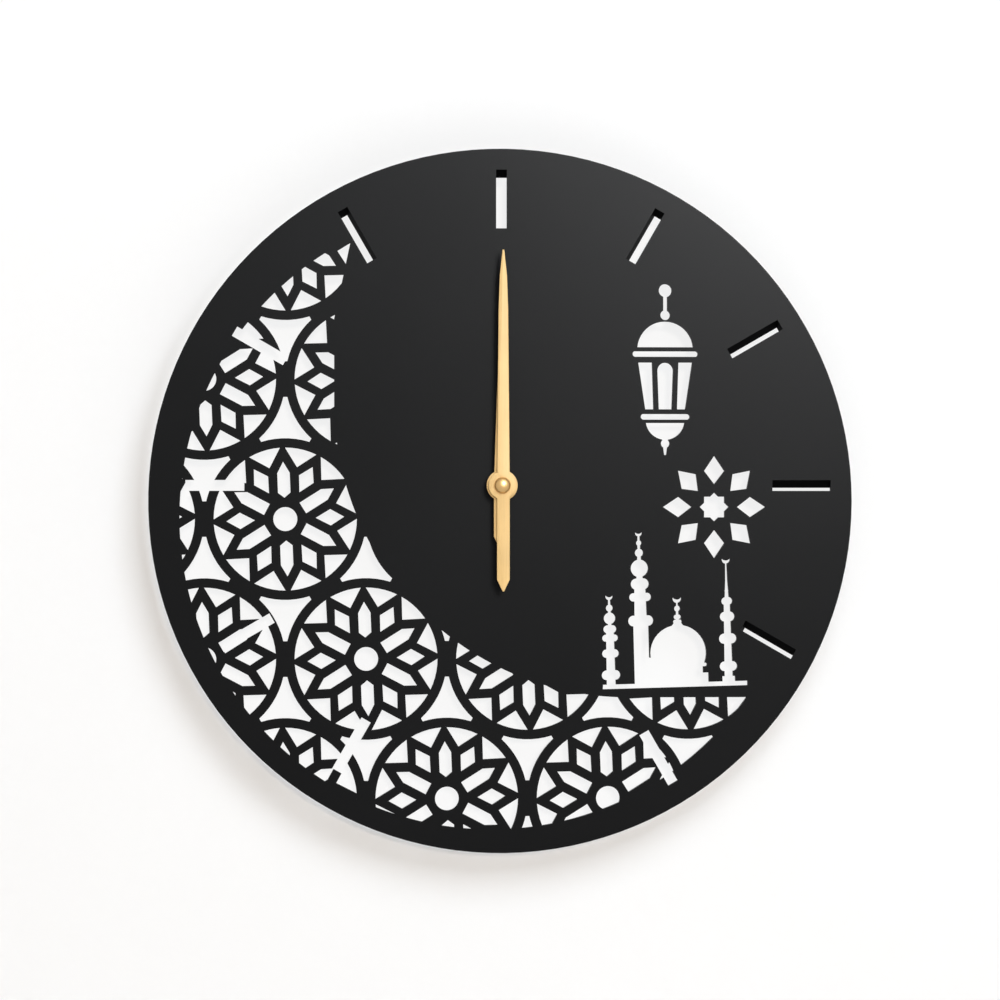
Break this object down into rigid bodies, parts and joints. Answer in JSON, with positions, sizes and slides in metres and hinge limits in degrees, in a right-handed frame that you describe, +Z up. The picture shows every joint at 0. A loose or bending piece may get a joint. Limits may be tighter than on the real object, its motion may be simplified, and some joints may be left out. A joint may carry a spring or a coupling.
{
  "type": "wall clock",
  "caption": "Round pierced black wall clock with a crescent of rosette lattice, a mosque silhouette, slotted hour marks and gold hands on a battery quartz movement.",
  "frame": {"origin": "where the axis of the hands meets the wall, on the flat back of the movement's cover", "axes": "+X to the right as seen from the front, +Y from the front into the wall, +Z up; a positive turn about +Y is clockwise as seen from the front"},
  "size_m": [0.3, 0.031, 0.3],
  "materials": {
    "dial_black": "satin black",
    "hand_gold": "polished gold",
    "plain_brass": "turned",
    "case_black": "moulded",
    "gear_white": "moulded",
    "steel": "plain",
    "magnet": "sintered",
    "copper": "enamelled wire",
    "washer_rubber": "matte",
    "board_green": "lacquered",
    "resin": "glossy",
    "cell": "plain wrap"
  },
  "bodies": {
    "movement": {"dial_plate": "dial_black", "movement_case": "case_black", "back_cover": "case_black", "hanger": "steel", "threaded_bush": "plain_brass", "rubber_washer": "washer_rubber", "fixing_washer": "plain_brass", "hex_nut": "plain_brass", "gear_bridge": "gear_white", "stator": "steel", "coil_core": "steel", "coil_bobbin": "gear_white", "coil_winding": "copper", "circuit_board": "board_green", "chip": "resin", "quartz_crystal": "steel", "battery": "cell", "positive_contact": "steel", "negative_contact": "steel"},
    "minute": {"minute_hand": "hand_gold", "hand_nut": "hand_gold", "minute_arbor": "plain_brass"},
    "hour": {"hour_hand": "hand_gold", "hour_wheel": "gear_white"},
    "motion": {"motion_wheel": "gear_white"},
    "knob": {"setting_knob": "case_black"},
    "centre": {"centre_wheel": "gear_white"},
    "third": {"third_wheel": "gear_white"},
    "seconds": {"seconds_wheel": "gear_white"},
    "intermediate": {"intermediate_wheel": "gear_white"},
    "rotor": {"rotor_pinion": "gear_white", "rotor_magnet": "magnet"}
  },
  "joints": [
    {"name": "minute_turn", "type": "hinge", "parent": "movement", "child": "minute", "pos_m": [0, 0, 0], "axis": [0, 1, 0], "continuous": true},
    {"name": "hour_turn", "type": "hinge", "parent": "movement", "child": "hour", "pos_m": [0, 0, 0], "axis": [0, 1, 0], "continuous": true},
    {"name": "motion_turn", "type": "hinge", "parent": "movement", "child": "motion", "pos_m": [-0.008, 0, 0], "axis": [0, 1, 0], "continuous": true},
    {"name": "knob_turn", "type": "hinge", "parent": "movement", "child": "knob", "pos_m": [-0.01588, 0, -0.0029], "axis": [0, 1, 0], "continuous": true},
    {"name": "centre_turn", "type": "hinge", "parent": "movement", "child": "centre", "pos_m": [0, 0, 0], "axis": [0, 1, 0], "continuous": true},
    {"name": "third_turn", "type": "hinge", "parent": "movement", "child": "third", "pos_m": [0.01004, 0, 0.00177], "axis": [0, 1, 0], "continuous": true},
    {"name": "seconds_turn", "type": "hinge", "parent": "movement", "child": "seconds", "pos_m": [0, 0, 0], "axis": [0, 1, 0], "continuous": true},
    {"name": "intermediate_turn", "type": "hinge", "parent": "movement", "child": "intermediate", "pos_m": [-0.00422, 0, 0.00905], "axis": [0, 1, 0], "continuous": true},
    {"name": "rotor_turn", "type": "hinge", "parent": "movement", "child": "rotor", "pos_m": [-0.00257, 0, 0.0152], "axis": [0, 1, 0], "continuous": true}
  ],
  "couplings": [
    {"joint": "hour_turn", "follows": "minute_turn", "ratio": 0.083333},
    {"joint": "motion_turn", "follows": "minute_turn", "ratio": -0.33333},
    {"joint": "knob_turn", "follows": "minute_turn", "ratio": 0.83333},
    {"joint": "intermediate_turn", "follows": "rotor_turn", "ratio": -0.13333},
    {"joint": "seconds_turn", "follows": "rotor_turn", "ratio": 0.033333},
    {"joint": "third_turn", "follows": "rotor_turn", "ratio": -0.0044444},
    {"joint": "centre_turn", "follows": "rotor_turn", "ratio": 0.00055556}
  ]
}
